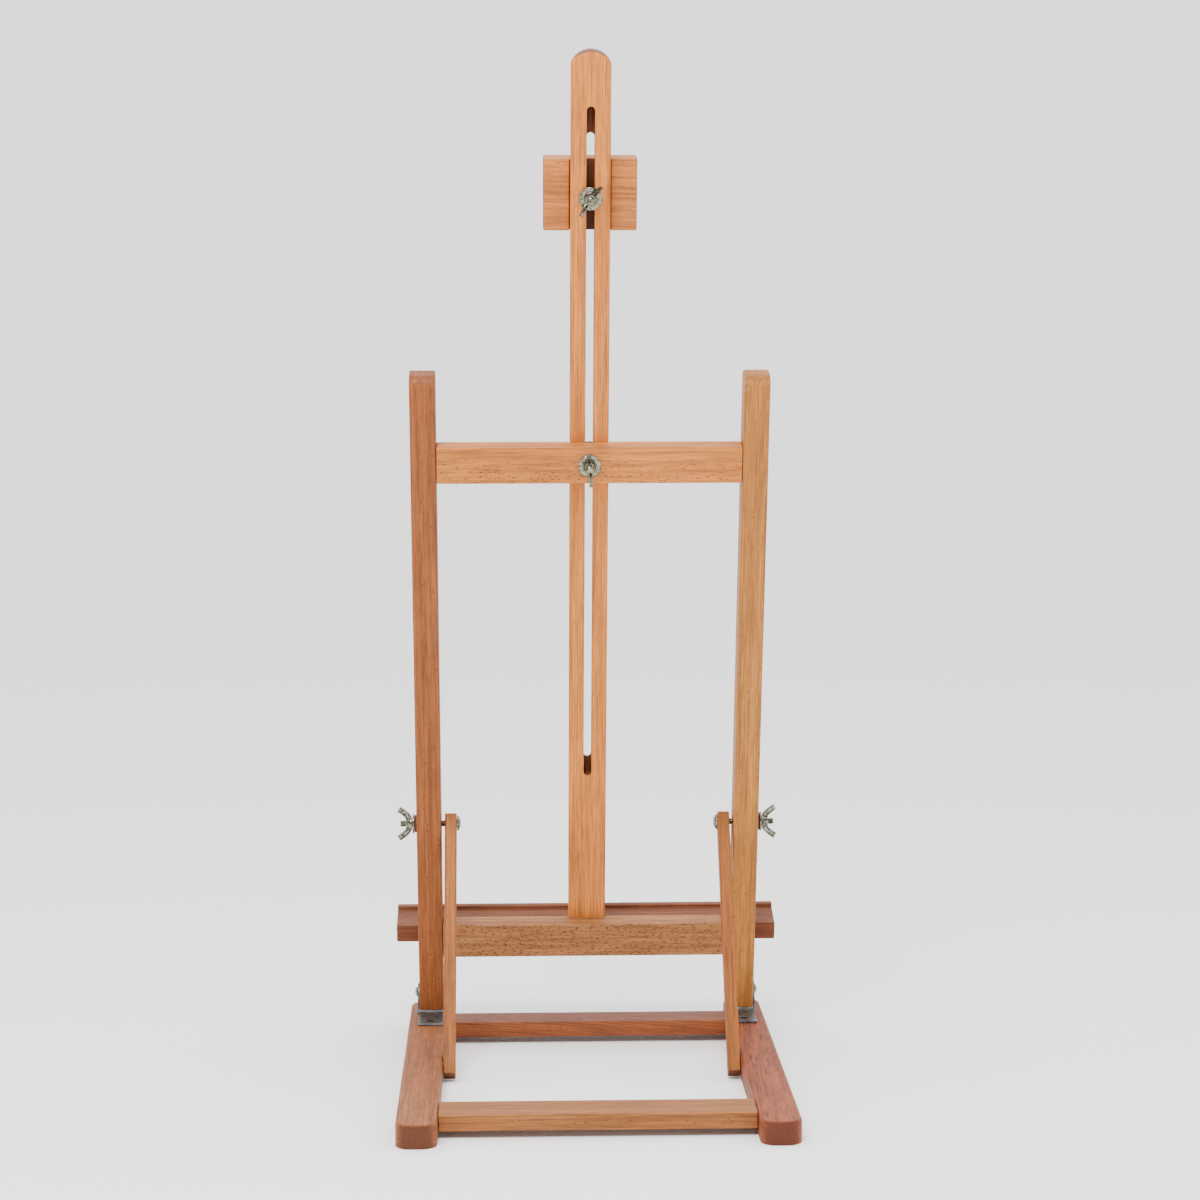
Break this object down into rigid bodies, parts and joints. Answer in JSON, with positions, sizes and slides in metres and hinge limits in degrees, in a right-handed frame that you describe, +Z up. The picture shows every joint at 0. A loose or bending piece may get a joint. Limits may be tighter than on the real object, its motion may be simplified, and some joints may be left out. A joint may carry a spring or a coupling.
{
  "type": "artist easel",
  "caption": "Tabletop wooden artist easel: leaning H-frame on a floor base, with slotted sliding mast, canvas clamp, tray, struts and wing nuts.",
  "frame": {"origin": "on the table, under the middle of the overall box at rest", "axes": "+X to the right of the artist who faces the canvas side, +Y towards the back of the base, +Z up"},
  "size_m": [0.355, 0.4354, 0.8916],
  "materials": {
    "beech_light": "pale clear-finished beech",
    "beech_warm": "warm clear-finished beech",
    "beech_red": "reddish clear-finished beech",
    "dowel_wood": "plain hardwood dowel",
    "zinc_steel": "bright zinc plating, faintly yellow",
    "dark_steel": "dull dark screw steel",
    "fibre": "brown vulcanised fibre"
  },
  "bodies": {
    "base": {"left_foot": "beech_warm", "right_foot": "beech_warm", "front_rail": "beech_red", "rear_rail": "beech_warm", "left_bracket": "zinc_steel", "right_bracket": "zinc_steel", "left_pivot_rivet": "zinc_steel", "right_pivot_rivet": "zinc_steel", "left_bracket_screw_front": "dark_steel", "left_bracket_screw_rear": "dark_steel", "right_bracket_screw_front": "dark_steel", "right_bracket_screw_rear": "dark_steel", "left_strut_screw": "dark_steel", "right_strut_screw": "dark_steel", "left_front_rail_dowel_1": "dowel_wood", "left_front_rail_dowel_2": "dowel_wood", "left_rear_rail_dowel_1": "dowel_wood", "left_rear_rail_dowel_2": "dowel_wood", "right_front_rail_dowel_1": "dowel_wood", "right_front_rail_dowel_2": "dowel_wood", "right_rear_rail_dowel_1": "dowel_wood", "right_rear_rail_dowel_2": "dowel_wood"},
    "frame": {"left_post": "beech_light", "right_post": "beech_red", "upper_crossbar": "beech_light", "lower_crossbar": "beech_warm", "tray": "beech_warm", "left_tray_screw": "dark_steel", "right_tray_screw": "dark_steel", "mast_bolt": "zinc_steel", "mast_front_washer": "zinc_steel", "mast_rear_washer": "zinc_steel", "left_upper_bar_dowel_1": "dowel_wood", "left_upper_bar_dowel_2": "dowel_wood", "left_lower_bar_dowel_1": "dowel_wood", "left_lower_bar_dowel_2": "dowel_wood", "right_upper_bar_dowel_1": "dowel_wood", "right_upper_bar_dowel_2": "dowel_wood", "right_lower_bar_dowel_1": "dowel_wood", "right_lower_bar_dowel_2": "dowel_wood"},
    "mast": {"mast": "beech_light"},
    "clamp": {"clamp_block": "beech_warm", "clamp_bolt": "zinc_steel", "clamp_washer": "zinc_steel"},
    "left_strut": {"left_strut": "beech_warm", "left_side_bolt": "zinc_steel", "left_fibre_disc": "fibre", "left_side_washer": "zinc_steel"},
    "right_strut": {"right_strut": "beech_light", "right_side_bolt": "zinc_steel", "right_fibre_disc": "fibre", "right_side_washer": "zinc_steel"},
    "mast_nut": {"mast_wing_nut": "zinc_steel"},
    "clamp_nut": {"clamp_wing_nut": "zinc_steel"},
    "left_side_nut": {"left_side_wing_nut": "zinc_steel"},
    "right_side_nut": {"right_side_wing_nut": "zinc_steel"}
  },
  "joints": [
    {"name": "frame_tilt", "type": "hinge", "parent": "base", "child": "frame", "pos_m": [0, -0.17615, 0.038], "axis": [1, 0, 0], "range_deg": [0, 11.5]},
    {"name": "left_strut_swing", "type": "hinge", "parent": "base", "child": "left_strut", "pos_m": [-0.125, 0.00335, 0.0115], "axis": [1, 0, 0], "range_deg": [0, 12.2]},
    {"name": "right_strut_swing", "type": "hinge", "parent": "base", "child": "right_strut", "pos_m": [0.125, 0.00335, 0.0115], "axis": [1, 0, 0], "range_deg": [0, 12.2]},
    {"name": "mast_height", "type": "slide", "parent": "frame", "child": "mast", "axis": [0, 0.2672, 0.9636], "range_m": [0, 0.285]},
    {"name": "clamp_height", "type": "slide", "parent": "mast", "child": "clamp", "axis": [0, 0.2672, 0.9636], "range_m": [-0.185, 0.049]},
    {"name": "mast_nut_turn", "type": "hinge", "parent": "frame", "child": "mast_nut", "pos_m": [0, -0.01684, 0.5376], "axis": [0, 0.9636, -0.2672], "continuous": true},
    {"name": "clamp_nut_turn", "type": "hinge", "parent": "clamp", "child": "clamp_nut", "pos_m": [0, 0.03193, 0.76586], "axis": [0, 0.9636, -0.2672], "continuous": true},
    {"name": "left_side_nut_turn", "type": "hinge", "parent": "left_strut", "child": "left_side_nut", "pos_m": [-0.163, -0.12964, 0.20572], "axis": [-1, 0, 0], "continuous": true},
    {"name": "right_side_nut_turn", "type": "hinge", "parent": "right_strut", "child": "right_side_nut", "pos_m": [0.163, -0.12964, 0.20572], "axis": [1, 0, 0], "continuous": true}
  ],
  "couplings": [
    {"joint": "left_strut_swing", "follows": "frame_tilt", "ratio": 1.0475},
    {"joint": "right_strut_swing", "follows": "frame_tilt", "ratio": 1.0475}
  ]
}
